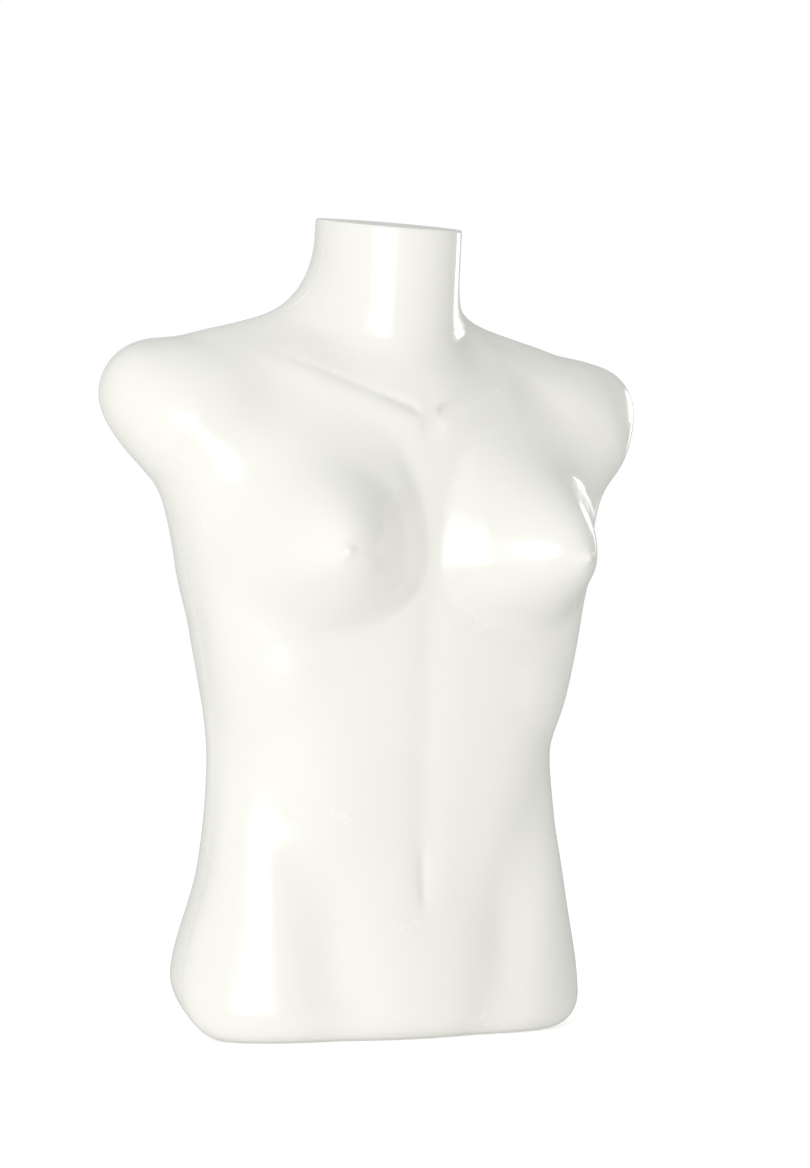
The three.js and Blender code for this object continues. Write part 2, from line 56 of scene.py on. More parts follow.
# ---------------------------------------------------------------- dimensions, millimetres
WALL = 3.0                  # shell wall
GAP = 0.4                   # clearance between neighbouring pieces
BASE_ROUND = 34.0           # radius of the rolled bottom edge at the flanks
ROUND_LEAN = 0.38           # share by which it grows to the back and shrinks to the front
ROUND_TURN = 20.0           # how far from the flank most of that change has happened
LIP = 9.0                   # flat inward lip the form stands on
CENTRE_SHIFT = 12.0         # moves the body so the origin is the middle of its bounding box
GROOVE = 0.4                # depth of the parting line

NECK_CUT = 545.0            # height of the neck cut where y is CUT_AT
CUT_AT = -8.0
NECK_TILT = 0.15            # slope of the neck cut, front lower
RIM_MIDDLE = -2.0           # y of the middle of the neck opening
RIM_ROUND = 2.6
RING_THICK = 3.0
RING_DEPTH = 14.0
CAP_TOP = 0.4               # how far the cap lies below the rim
CAP_THICK = 3.0
CAP_SKIRT = 12.0
SKIRT_THICK = 2.4
FINGER_HOLE = 18.0

BOARD_LOW = 36.0            # underside of the base board
PAN_HEAD = 2.6              # height of a pan head
SOCKET_Y = 6.0              # stand socket axis, before the centre shift
ROD_BORE = 22.6             # takes a 22 mm stand rod
TUBE_OUTER = 27.0
TUBE_LOW = 10.0
TUBE_TOP = 150.0
SLEEVE_GAP = 0.3            # round the tube, inside the flange and the collar
FLANGE_OUTER = 84.0
FLANGE_THICK = 3.0
COLLAR_OUTER = 40.0
CLAMP_Z = 19.0              # height of the thumb screw axis
CLAMP_THREAD = 8.0
KNOB_LENGTH = 12.0

# Trunk levels: height, width, and where flank, front and back stand from the plumb line, fullness.
BASE = dict(level=0, width=293, flank=-6, front=66, back=80, fullness=(2.3, 2.4))
HIP = dict(level=40, width=297, flank=-3, front=64, back=86, fullness=(1.95, 2.4))
NAVEL = dict(level=112, width=263, flank=-6, front=60, back=77, fullness=(2.1, 2.4))
WAIST = dict(level=178, width=253, flank=-3, front=62, back=64, fullness=(2.5, 2.4))
CHEST = dict(level=320, width=286, flank=-7, front=68, back=92, fullness=(2.5, 2.3))

# Above the chest the trunk closes like a dome towards the neck root.
NECK_ROOT = 471
DOME_STEPS = 5
DOME_CLOSES = 0.8
DOME_FRONT = 0.7
DOME_BACK = 0.47
DOME_LEAN = 21

FOOT = 0.08                # fillet round the foot of a mound, as a part of its height

# place, half width of the axis ribbon, height, climb, centre y, droop
AXIS = np.array([
    [0.0, 70, 0, 0.0, -1, 0],
    [0.3, 58, 177, 0.0, 2, 0],
    [0.5, 68, 297, 0.0, 1, 0],
    [0.6, 90, 357, 0.0, 10, 0],
    [0.68, 112, 398, 0.05, 20, 0],
    [0.74, 105, 408, 0.35, 24, 0],
    [0.8, 62, 405, 0.75, 24, 0],
    [0.86, 18, 401, 1.35, 18, 0],
    [0.9, 4, 413, 1.45, 10, 0.05],
    [1.0, 0, NECK_CUT, 0.0, -4, NECK_TILT],
], float)


# ---------------------------------------------------------------- maths
def soft_min(a, b, k):
    h = np.clip(0.5 + 0.5 * (b - a) / k, 0, 1)
    return b * (1 - h) + a * h - k * h * (1 - h)


def soft_max(a, b, k):
    return -soft_min(-a, -b, k)


def ease(t):
    t = np.clip(t, 0, 1)
    return t * t * (3 - 2 * t)


def curve(table, at, col):
    """Smooth curve through a table: one column read against the first."""
    xs, ys = table[:, 0], table[:, col]
    d = np.diff(ys) / np.diff(xs)
    w = np.diff(xs)
    m = np.empty_like(ys)
    m[0], m[-1] = d[0], d[-1]
    m[1:-1] = (d[1:] * w[:-1] + d[:-1] * w[1:]) / (w[:-1] + w[1:])
    x = np.clip(at, xs[0], xs[-1])
    i = np.clip(np.searchsorted(xs, x, side="right") - 1, 0, len(xs) - 2)
    h = xs[i + 1] - xs[i]
    t = (x - xs[i]) / h
    t2, t3 = t * t, t * t * t
    return ((2 * t3 - 3 * t2 + 1) * ys[i] + (t3 - 2 * t2 + t) * h * m[i]
            + (3 * t2 - 2 * t3) * ys[i + 1] + (t3 - t2) * h * m[i + 1])


def bar(x, y, z, a, b, ra, rb):
    """Distance to a round bar from a to b whose radius runs from ra to rb."""
    a, b = np.array(a, float), np.array(b, float)
    d = b - a
    h = np.clip(((x - a[0]) * d[0] + (y - a[1]) * d[1] + (z - a[2]) * d[2]) / (d @ d), 0, 1)
    off = np.sqrt((x - a[0] - h * d[0])**2 + (y - a[1] - h * d[1])**2 + (z - a[2] - h * d[2])**2)
    return off - (ra + (rb - ra) * h)


def mound(x, z, cx, cz, inward, outward, down, up, low_power=2, high_power=2, peak=1):
    """Soft mound, 1 at its middle, with its own reach on each side; the low inner side is fullest."""
    tx = np.where(x < cx, (x - cx) / inward, (x - cx) / outward)
    tz = np.where(z < cz, (z - cz) / down, (z - cz) / up)
    t2 = np.minimum(tx * tx + tz * tz, 1) ** peak
    softness = ease(0.45 + 0.4 * tz + 0.85 * tx)
    return foot((1 - t2) ** (low_power + (high_power - low_power) * softness))


def foot(v):
    """Lets a mound of height v meet the ground round it in a small fillet."""
    return (v - FOOT * (1 - np.exp(-v / FOOT))) / (1 - FOOT)


def near_line(x, z, points):
    """Distance, in the front view, to a line of points, and which side of it one is on."""
    best = np.full(np.shape(x + z), 1e9)
    side = np.zeros_like(best)
    for (ax, az), (bx, bz) in zip(points, points[1:]):
        dx, dz = bx - ax, bz - az
        h = np.clip(((x - ax) * dx + (z - az) * dz) / (dx * dx + dz * dz), 0, 1)
        off = np.hypot(x - ax - h * dx, z - az - h * dz)
        cross = (x - ax) * dz - (z - az) * dx
        side = np.where(off < best, np.sign(cross), side)
        best = np.minimum(best, off)
    return best, side


def valley(x, z, points, reach):
    return np.exp(-(near_line(x, z, points)[0] / reach) ** 2)


# ---------------------------------------------------------------- the body form
def section(level, width, flank, front, back, fullness):
    """Height, half width, centre y, front depth, back depth, front and back fullness."""
    return [level, width / 2, flank, front + flank, back - flank, *fullness]


def dome_section(t):
    return section(
        CHEST["level"] + (NECK_ROOT - CHEST["level"]) * t,
        CHEST["width"] * (1 - DOME_CLOSES * t**2.3),
        CHEST["flank"] + DOME_LEAN * t,
        CHEST["front"] * (1 - DOME_FRONT * t**4),
        CHEST["back"] * (1 - DOME_BACK * t**2),
        [full + (2 - full) * t for full in CHEST["fullness"]],
    )


SECTIONS = np.array(
    [section(**at) for at in (BASE, HIP, NAVEL, WAIST)]
    + [dome_section(i / DOME_STEPS) for i in range(DOME_STEPS + 1)], float)


def trunk(x, y, z):
    roll = BASE_ROUND * (1 + ROUND_LEAN * y / np.hypot(y, ROUND_TURN))
    low = np.clip(roll - z, 0, roll)
    inset = roll - np.sqrt(np.maximum(roll**2 - low**2, 0))
    width, centre, front, back, nf, nb = (curve(SECTIONS, z, c) for c in range(1, 7))
    dy = y - centre
    depth = np.where(dy < 0, front, back) - inset
    power = np.where(dy < 0, nf, nb)
    rho = (np.abs(x / (width - inset))**power + np.abs(dy / depth)**power) ** (1 / power)
    side = np.hypot(x, dy) * (1 - 1 / (rho + 1e-9))
    return np.maximum(side, z - NECK_ROOT)


def form(x, y, z):
    """Signed depth of the body skin: negative inside, zero on the skin."""
    sx = np.sqrt(x * x + 25)
    ax = np.abs(x)
    d = trunk(x, y, z)
    joint = bar(sx, y, z, (70, 9, 430), (170, 19, 427), 39, 31)
    ridge = bar(sx, y, z, (60, 33, 448), (156, 41, 439), 23, 22)
    armpit = bar(sx, y, z, (142, 10, 402), (104, 6, 330), 31, 36)
    pectoral = bar(sx, y, z, (144, -2, 402), (88, -24, 352), 31, 37)
    shoulder = soft_min(soft_min(soft_min(joint, ridge, 22), armpit, 40), pectoral, 30)
    d = soft_min(d, shoulder, 35)
    neck = bar(x * 1.02, y, z, (0, 12, 412), (0, -7, 640), 51, 50)
    slope = bar(sx, y, z, (28, 28, 480), (110, 25, 444), 20, 22)
    d = soft_min(d, soft_min(neck, slope, 40), 22)
    front = ease((12 - y) / 40)
    back = ease((y - 24) / 30)
    d = d - front * breasts(ax, z)
    d = d + front * front_lines(x, ax, z)
    d = d - back * back_forms(ax, z)
    cut = (z - NECK_CUT) - NECK_TILT * (y - CUT_AT)
    return soft_max(d, cut, RIM_ROUND)


def breasts(ax, z):
    broad = 30 * mound(ax, z, 84, 318, 82, 74, 52, 112, 1.1, 2.9)
    point = 24 * mound(ax, z, 89, 320, 66, 62, 51, 72, 1.3, 1.9, 0.82)
    halo = 0.6 * mound(ax, z, 90, 320, 13, 13, 13, 13)
    tip = 3.0 * mound(ax, z, 90, 321, 7, 7, 7, 7, 1.6, 1.6)
    return broad + point + halo + tip


def fade(z, low, high, soft):
    """1 between two heights, easing to 0 over `soft` beyond them."""
    return ease((z - low + soft) / soft) * ease((high + soft - z) / soft)


def front_lines(x, ax, z):
    """Depth of the valleys on the front, less the height of what stands up beside them."""
    groin = 6.5 * valley(ax, z, [(112, 190), (94, 140), (78, 99), (67, 57), (56, 15), (52, -30)], 24)
    hip = 6 * mound(ax, z, 100, 92, 46, 50, 110, 64)
    belly = 2.5 * mound(ax, z, 0, 60, 70, 70, 90, 90)
    midline = 1.7 * np.exp(-(x / 13) ** 2) * fade(z, 150, 290, 60)
    navel = 1.5 * np.exp(-(x / 3.8) ** 2 - ((z - 108) / 18) ** 4)
    dip = 1.6 * np.exp(-(x / 11) ** 2 - ((z - 106) / 26) ** 2)
    notch = 0.5 * np.exp(-(x / 11) ** 2 - ((z - 428) / 12) ** 2)
    chest = 3 * mound(ax, z, 106, 428, 62, 50, 60, 46)
    rib = 2.2 * mound(ax, z, 92, 236, 30, 34, 30, 34)
    return groin - hip - belly - chest - rib + midline + navel + dip + notch + collar_bones(ax, z)


def collar_bones(ax, z):
    """A crease under each collar bone, deepest at the notch, and the bone's swell above it."""
    off, side = near_line(ax, z, [(9, 418), (24, 424), (41, 431), (60, 440), (80, 449), (104, 459)])
    shown = ease((ax - 3) / 9) * ease((118 - ax) / 70)
    crease = (1.2 + 2.2 * ease((44 - ax) / 30)) * np.exp(-(off / 3.0) ** 2)
    swell = 1.5 * np.exp(-((off * side - 9) / 9) ** 2)
    return shown * (crease - swell)


def back_forms(ax, z):
    seat = 9 * mound(ax, z, 60, 12, 60, 66, 60, 84)
    blade = 6 * mound(ax, z, 74, 372, 60, 52, 84, 52)
    spine = -4.5 * np.exp(-(ax / 17) ** 2) * fade(z, 110, 350, 60)
    return seat + blade + spine


def outward(p):
    e = 0.05
    x, y, z = p[..., 0], p[..., 1], p[..., 2]
    n = np.stack([
        form(x + e, y, z) - form(x - e, y, z),
        form(x, y + e, z) - form(x, y - e, z),
        form(x, y, z + e) - form(x, y, z - e),
    ], -1)
    return n / (np.linalg.norm(n, axis=-1, keepdims=True) + 1e-12)


def skin(places, degrees):
    """Grid of points of the body skin: rows along the axis, columns round it."""
    w, z0, climb, yc, droop = (curve(AXIS, places, c)[:, None] for c in range(1, 6))
    sa = np.sin(np.radians(degrees))[None, :]
    ca = np.cos(np.radians(degrees))[None, :]

    def at(t):
        return np.stack([(w + t) * sa, yc - t * ca, z0 + climb * t - droop * t * ca], -1)

    def depth(t):
        p = at(t)
        return form(p[..., 0], p[..., 1], p[..., 2])

    shape = (len(places), len(degrees))
    lo, hi = np.full(shape, 2.0), np.full(shape, 200.0)
    found = np.zeros(shape, bool)
    last = 2.0
    for t in np.arange(7.0, 200.0, 5.0):
        hit = (depth(np.full(shape, t)) > 0) & ~found
        hi[hit], lo[hit] = t, last
        found |= hit
        last = t
    for _ in range(18):
        mid = (lo + hi) / 2
        inside = depth(mid) < 0
        lo, hi = np.where(inside, mid, lo), np.where(inside, hi, mid)
    return at((lo + hi) / 2)


_fine = np.linspace(0, 0.5, 4001)
_fine_height = curve(AXIS, _fine, 2)


def place_of_height(z):
    return np.interp(z, _fine_height, _fine)


# ---------------------------------------------------------------- mesh builders
def to_object(name, points, faces, smooth_angle=35):
    """points in millimetres before the centre shift; faces as index lists."""
    points = np.asarray(points, float).reshape(-1, 3) + [0, CENTRE_SHIFT, 0]
    mesh = bpy.data.meshes.new(name)
    if isinstance(faces, np.ndarray):
        n = faces.shape[1]
        mesh.vertices.add(len(points))
        mesh.vertices.foreach_set("co", (points * 0.001).astype(np.float32).ravel())
        mesh.loops.add(faces.size)
        mesh.loops.foreach_set("vertex_index", faces.astype(np.int32).ravel())
        mesh.polygons.add(len(faces))
        mesh.polygons.foreach_set("loop_start", np.arange(0, faces.size, n, dtype=np.int32))
        mesh.update(calc_edges=True)
    else:
        mesh.from_pydata((points * 0.001).tolist(), [], faces)
        mesh.update()
    mesh.validate()
    mesh.shade_smooth()
    mesh.set_sharp_from_angle(angle=math.radians(smooth_angle))
    obj = bpy.data.objects.new(name, mesh)
    bpy.context.scene.collection.objects.link(obj)
    return obj


def grid_quads(rows, cols, start, flip=False, closed=False):
    i, j = np.meshgrid(np.arange(rows - 1), np.arange(cols if closed else cols - 1), indexing="ij")
    k = (j + 1) % cols
    a, b = start + i * cols + j, start + i * cols + k
    c, d = start + (i + 1) * cols + k, start + (i + 1) * cols + j
    quads = np.stack([a, b, c, d], -1).reshape(-1, 4)
    return quads[:, ::-1] if flip else quads


def stitch(fine, coarse, flip):
    """Triangles between a fine edge and a coarse edge that takes every second point."""
    tris = []
    for k in range(len(coarse) - 1):
        a, b, c = fine[2 * k], fine[2 * k + 1], fine[2 * k + 2]
        p, q = coarse[k], coarse[k + 1]
        tris += [(a, b, p), (b, q, p), (b, c, q)]
    return [t[::-1] for t in tris] if flip else tris


def half_shell(name, places, degrees, parting):
    """One moulded half: fine outside, coarser inside, turned-in lip, grooved parting edge."""
    outer = skin(places, degrees)
    normal = outward(outer)
    edge = normal.copy()
    edge[..., 1] = 0
    edge /= np.linalg.norm(edge, axis=-1, keepdims=True) + 1e-12
    inner = outer - WALL * normal
    for j in (0, -1):
        inner[:, j] = outer[:, j] - WALL * edge[:, j]
        outer[:, j] -= GROOVE * edge[:, j]
        outer[:, j, 1] += parting
        inner[:, j, 1] = outer[:, j, 1]
    inner[0] = outer[0]
    inner[0, :, 2] = WALL
    up = np.array([0, -NECK_TILT, 1]) / math.hypot(1, NECK_TILT)
    flat = normal[-1] - (normal[-1] @ up)[:, None] * up
    flat /= np.linalg.norm(flat, axis=-1, keepdims=True)
    inner[-1] = outer[-1] - (WALL - RIM_ROUND * 0.7) * flat
    for j in (0, -1):
        inner[-1, j, 1] = outer[-1, j, 1]

    tall = outer[0].copy()
    tall[:, 2] = BASE_ROUND
    side = outward(tall)
    side[:, 2] = 0
    side /= np.linalg.norm(side, axis=-1, keepdims=True)
    lips = []
    for reach, z in ((LIP, 0.0), (LIP + 0.6, 0.6), (LIP + 0.6, WALL - 0.6), (LIP, WALL)):
        row = outer[0] - reach * side
        row[:, 2] = z
        row[[0, -1], 1] = outer[0, [0, -1], 1]
        lips.append(row)
    outer = np.concatenate([[lips[1], lips[0]], outer])
    inner = np.concatenate([[lips[2], lips[3]], inner])
    if len(outer) % 2 == 0:
        raise ValueError("the outside needs an odd number of rows")
    coarse = inner[::2, ::2]
    rows, cols = outer.shape[:2]
    crows, ccols = coarse.shape[:2]
    start = rows * cols
    quads = np.concatenate([
        grid_quads(rows, cols, 0), grid_quads(crows, ccols, start, flip=True),
    ])
    fine_index = np.arange(start).reshape(rows, cols)
    coarse_index = start + np.arange(crows * ccols).reshape(crows, ccols)
    tris = stitch(fine_index[0], coarse_index[0], True)
    tris += stitch(fine_index[-1], coarse_index[-1], False)
    tris += stitch(fine_index[:, 0], coarse_index[:, 0], False)
    tris += stitch(fine_index[:, -1], coarse_index[:, -1], True)
    split = np.concatenate([quads[:, [0, 1, 2]], quads[:, [0, 2, 3]], np.array(tris)])
    return to_object(name, np.concatenate([outer.reshape(-1, 3), coarse.reshape(-1, 3)]), split)


def loop_body(name, rings, smooth_angle=40):
    """Closed ring: each loop of points is one turn round it, and the loops close too."""
    rings = np.asarray(rings, float)
    rows, cols = rings.shape[:2]
    i, j = np.meshgrid(np.arange(rows), np.arange(cols), indexing="ij")
    a, b = i * cols + j, i * cols + (j + 1) % cols
    c, d = ((i + 1) % rows) * cols + (j + 1) % cols, ((i + 1) % rows) * cols + j
    return to_object(name, rings.reshape(-1, 3), np.stack([a, b, c, d], -1).reshape(-1, 4), smooth_angle)


def thread_profile(low, high, root, crest, pitch):
    """Zigzag of a thread between two heights."""
    points, z = [], low
    while z < high:
        points += [(root, z), (crest, z + pitch / 2)]
        z += pitch
    return points


def turned(name, profile, sides=96, smooth_angle=40):
    """Turned piece about +Z; the profile of (radius, height) closes on itself or on the axis."""
    a = np.linspace(0, 2 * np.pi, sides, endpoint=False)
    points, faces, rows = [], [], []
    for r, h in profile:
        if r < 1e-6:
            rows.append([len(points)])
            points.append((0, 0, h))
        else:
            rows.append(list(range(len(points), len(points) + sides)))
            points += [(r * math.cos(t), r * math.sin(t), h) for t in a]
    pairs = list(zip(rows, rows[1:]))
    if len(rows[0]) > 1:
        pairs.append((rows[-1], rows[0]))
    for low, high in pairs:
        for j in range(sides):
            k = (j + 1) % sides
            if len(low) == 1 and len(high) == 1:
                continue
            if len(low) == 1:
                faces.append((low[0], high[k], high[j]))
            elif len(high) == 1:
                faces.append((low[j], low[k], high[0]))
            else:
                faces.append((low[j], low[k], high[k], high[j]))
    return to_object(name, np.array(points) - [0, CENTRE_SHIFT, 0], faces, smooth_angle)


def rounded(profile, radius, steps=4):
    """Rounds every corner of an open profile of (radius, height) pairs, except its ends."""
    out = [profile[0]]
    for p, q, r in zip(profile, profile[1:], profile[2:]):
        p, q, r = np.array(p, float), np.array(q, float), np.array(r, float)
        u, v = p - q, r - q
        cut = min(radius, np.linalg.norm(u) * 0.45, np.linalg.norm(v) * 0.45)
        u, v = u / np.linalg.norm(u) * cut, v / np.linalg.norm(v) * cut
        for s in np.linspace(0, 1, steps + 1):
            out.append(tuple(q + u * (1 - s) ** 2 + v * s * s))
    out.append(profile[-1])
    return out


def sleeve(name, inner, outer, low, high, seam, soft, sides=96):
    """Turned sleeve with softened corners, its profile starting at height `seam` of the bore."""
    corners = [(inner, seam), (inner, low), (outer, low), (outer, high), (inner, high), (inner, seam)]
    return turned(name, rounded(corners, soft)[:-1], sides)


def place(obj, matrix):
    """Moves the mesh itself, so the object stays at the origin."""
    obj.data.transform(matrix)
    obj.data.update()
    return obj


def finished(obj, body, material, *nodes):
    obj.data.materials.clear()
    obj.data.materials.append(material)
    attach(obj, body)
    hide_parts(*nodes)
    return obj


# ---------------------------------------------------------------- materials
def new_material(name):
    material = bpy.data.materials.new(name)
    material.use_nodes = True
    tree = material.node_tree
    return material, tree, tree.nodes["Principled BSDF"]


def noise(tree, scale, detail=3.0, roughness=0.5, vector=None):
    node = tree.nodes.new("ShaderNodeTexNoise")
    node.inputs["Scale"].default_value = scale
    node.inputs["Detail"].default_value = detail
    node.inputs["Roughness"].default_value = roughness
    if vector is None:
        coord = tree.nodes.new("ShaderNodeTexCoord")
        vector = coord.outputs["Object"]
    tree.links.new(vector, node.inputs["Vector"])
    return node.outputs["Fac"]


def ramp(tree, factor, stops):
    node = tree.nodes.new("ShaderNodeValToRGB")
    elements = node.color_ramp.elements
    while len(elements) > 1:
        elements.remove(elements[-1])
    elements[0].position, elements[0].color = stops[0][0], (*stops[0][1], 1)
    for at, colour in stops[1:]:
        elements.new(at).color = (*colour, 1)
    tree.links.new(factor, node.inputs["Fac"])
    return node.outputs["Color"]


def spread(tree, factor, low, high, frm=(0.3, 0.7)):
    node = tree.nodes.new("ShaderNodeMapRange")
    for key, value in (("From Min", frm[0]), ("From Max", frm[1]), ("To Min", low), ("To Max", high)):
        node.inputs[key].default_value = value
    tree.links.new(factor, node.inputs["Value"])
    return node.outputs["Result"]


def bump(tree, bsdf, height, strength, distance):
    node = tree.nodes.new("ShaderNodeBump")
    node.inputs["Strength"].default_value = strength
    node.inputs["Distance"].default_value = distance
    tree.links.new(height, node.inputs["Height"])
    tree.links.new(node.outputs["Normal"], bsdf.inputs["Normal"])


def gloss_white():
    material, tree, bsdf = new_material("gloss_white_plastic")
    tone = ramp(tree, noise(tree, 9, 4), [(0.3, (0.795, 0.79, 0.745)), (0.7, (0.815, 0.812, 0.77))])
    tree.links.new(tone, bsdf.inputs["Base Color"])
    tree.links.new(spread(tree, noise(tree, 26, 5, 0.6), 0.2, 0.28), bsdf.inputs["Roughness"])
    bump(tree, bsdf, noise(tree, 420, 2), 0.05, 0.0004)
    bsdf.inputs["IOR"].default_value = 1.5
    bsdf.inputs["Coat Weight"].default_value = 0.45
    bsdf.inputs["Coat Roughness"].default_value = 0.08
    return material


def cap_white():
    material, tree, bsdf = new_material("cap_white_plastic")
    tone = ramp(tree, noise(tree, 14, 4), [(0.3, (0.77, 0.765, 0.72)), (0.7, (0.80, 0.795, 0.755))])
    tree.links.new(tone, bsdf.inputs["Base Color"])
    tree.links.new(spread(tree, noise(tree, 60, 4), 0.22, 0.34), bsdf.inputs["Roughness"])
    bump(tree, bsdf, noise(tree, 900, 3), 0.12, 0.0003)
    return material


def strip_material():
    material, tree, bsdf = new_material("glass_fibre_tape")
    tone = ramp(tree, noise(tree, 120, 6), [(0.3, (0.55, 0.50, 0.38)), (0.7, (0.70, 0.66, 0.54))])
    tree.links.new(tone, bsdf.inputs["Base Color"])
    tree.links.new(spread(tree, noise(tree, 300, 3), 0.5, 0.8), bsdf.inputs["Roughness"])
    wave = tree.nodes.new("ShaderNodeTexWave")
    wave.inputs["Scale"].default_value = 260
    wave.inputs["Distortion"].default_value = 1.5
    coord = tree.nodes.new("ShaderNodeTexCoord")
    tree.links.new(coord.outputs["Object"], wave.inputs["Vector"])
    bump(tree, bsdf, wave.outputs["Fac"], 0.4, 0.0006)
    return material


def board_material():
    material, tree, bsdf = new_material("birch_ply_board")
    coord = tree.nodes.new("ShaderNodeTexCoord")
    stretch = tree.nodes.new("ShaderNodeMapping")
    stretch.inputs["Scale"].default_value = (1.0, 14.0, 1.0)
    tree.links.new(coord.outputs["Object"], stretch.inputs["Vector"])
    grain = noise(tree, 14, 8, 0.65, stretch.outputs["Vector"])
    tone = ramp(tree, grain, [
        (0.25, (0.36, 0.22, 0.10)), (0.5, (0.50, 0.33, 0.17)), (0.75, (0.58, 0.41, 0.23)),
    ])
    tree.links.new(tone, bsdf.inputs["Base Color"])
    tree.links.new(spread(tree, grain, 0.55, 0.75), bsdf.inputs["Roughness"])
    bump(tree, bsdf, grain, 0.25, 0.0006)
    return material


def metal(name, low, high, rough, brush):
    material, tree, bsdf = new_material(name)
    coord = tree.nodes.new("ShaderNodeTexCoord")
    stretch = tree.nodes.new("ShaderNodeMapping")
    stretch.inputs["Scale"].default_value = brush
    tree.links.new(coord.outputs["Object"], stretch.inputs["Vector"])
    streak = noise(tree, 90, 5, 0.6, stretch.outputs["Vector"])
    tree.links.new(ramp(tree, streak, [(0.3, low), (0.7, high)]), bsdf.inputs["Base Color"])
    tree.links.new(spread(tree, streak, *rough), bsdf.inputs["Roughness"])
    bump(tree, bsdf, streak, 0.15, 0.0002)
    bsdf.inputs["Metallic"].default_value = 1.0
    return material


def black_plastic():
    material, tree, bsdf = new_material("black_moulded_plastic")
    tone = ramp(tree, noise(tree, 80, 4), [(0.3, (0.012, 0.012, 0.013)), (0.7, (0.028, 0.028, 0.03))])
    tree.links.new(tone, bsdf.inputs["Base Color"])
    tree.links.new(spread(tree, noise(tree, 200, 4), 0.38, 0.55), bsdf.inputs["Roughness"])
    bump(tree, bsdf, noise(tree, 1600, 2), 0.3, 0.0002)
    return material


SHELL = gloss_white()
CAP = cap_white()
STRIP = strip_material()
BOARD = board_material()
ZINC = metal("zinc_plated_steel", (0.42, 0.43, 0.45), (0.60, 0.61, 0.62), (0.28, 0.42), (1, 1, 1))
STEEL = metal("brushed_steel", (0.40, 0.40, 0.41), (0.56, 0.56, 0.57), (0.22, 0.36), (1, 1, 9))
BLACK = black_plastic()


# ---------------------------------------------------------------- half shells
RIM_ROWS = 0.008            # last part of the axis, where the rows crowd towards the rim
detail = 1.0
rolled = BASE_ROUND * (1 - np.cos(np.radians(np.linspace(0, 88, round(30 * detail)))))
above_roll = float(place_of_height(BASE_ROUND + 1.5))
even = np.linspace(above_roll, 1 - RIM_ROWS, round(236 * detail))
top = 1 - (RIM_ROWS * np.linspace(1, 0, round(12 * detail) + 1) ** 1.6)[1:]
places = np.concatenate([place_of_height(rolled), even, top])
if len(places) % 2 == 0:
    spare = -14
    places = np.insert(places, spare, (places[spare] + places[spare - 1]) / 2)


def columns(lo, hi, count):
    """Angles of the columns, closest at the parting line, so that its groove stays crisp."""
    inner = np.linspace(lo + 0.9, hi - 0.9, count)
    return np.concatenate([[lo, lo + 0.3], inner, [hi - 0.3, hi]])


front_columns = columns(-90, 90, round(250 * detail) // 2 * 2 + 1)
back_columns = columns(90, 270, round(200 * detail) // 2 * 2 + 1)
finished(half_shell("front_half_shell", places, front_columns, -0.03), "torso", SHELL, "front_shell")
finished(half_shell("back_half_shell", places, back_columns, 0.03), "torso", SHELL, "back_shell")


# ---------------------------------------------------------------- neck ring and cap
NECK_AXIS = np.array([0, -19, 228]) / math.hypot(19, 228)
CUT_UP = np.array([0, -NECK_TILT, 1]) / math.hypot(1, NECK_TILT)
turn = np.linspace(0, 360, 160, endpoint=False)
just_below = skin(np.array([0.99]), turn)[0]
rim_normal = outward(just_below)
rim_normal -= (rim_normal @ CUT_UP)[:, None] * CUT_UP
rim_normal /= np.linalg.norm(rim_normal, axis=-1, keepdims=True)
climb = ((NECK_CUT + NECK_TILT * (just_below[:, 1] - CUT_AT)) - just_below[:, 2]) / (
    NECK_AXIS[2] - NECK_TILT * NECK_AXIS[1])
rim = just_below + climb[:, None] * NECK_AXIS
middle = np.array([0, RIM_MIDDLE, NECK_CUT + NECK_TILT * (RIM_MIDDLE - CUT_AT)])


def rim_loop(inset, down):
    return rim - inset * rim_normal - down * NECK_AXIS


def hole_loop(radius, down):
    p = np.stack([radius * np.sin(np.radians(turn)), -radius * np.cos(np.radians(turn)), turn * 0], -1)
    p[:, 2] = p[:, 1] * NECK_TILT
    return p + middle - down * NECK_AXIS


ring_outside = WALL + GAP
ring_inside = ring_outside + RING_THICK
cap_low = CAP_TOP + CAP_THICK
ring_top = cap_low + GAP
ring_profile = [
    (ring_outside, ring_top), (ring_outside, ring_top + RING_DEPTH),
    (ring_inside, ring_top + RING_DEPTH), (ring_inside, ring_top),
]
finished(loop_body("neck_bonded_ring", [rim_loop(*p) for p in ring_profile]), "torso", CAP, "neck_ring")

# Inset from the rim and depth, up the cap's edge, down its skirt and back; then the finger hole.
skirt = ring_inside + 0.6
hole = FINGER_HOLE / 2
cap_edge = [
    (WALL + 0.5, CAP_TOP + 1.0), (WALL + 0.5, cap_low), (skirt, cap_low), (skirt, cap_low + CAP_SKIRT),
    (skirt + SKIRT_THICK, cap_low + CAP_SKIRT), (skirt + SKIRT_THICK, cap_low),
]
finger_hole = [
    (hole, cap_low), (hole, CAP_TOP + 0.9), (hole + 0.25, CAP_TOP + 0.35),
    (hole + 0.8, CAP_TOP + 0.05), (hole + 2, CAP_TOP),
]
cap_rim = [(WALL + 2.6, CAP_TOP), (WALL + 1.5, CAP_TOP + 0.1), (WALL + 0.85, CAP_TOP + 0.4)]
cap_rings = [rim_loop(*p) for p in cap_edge]
cap_rings += [hole_loop(*p) for p in finger_hole]
cap_rings += [rim_loop(*p) for p in cap_rim]
finished(loop_body("neck_cap_disc", cap_rings), "neck_cap", CAP, "neck_cap")


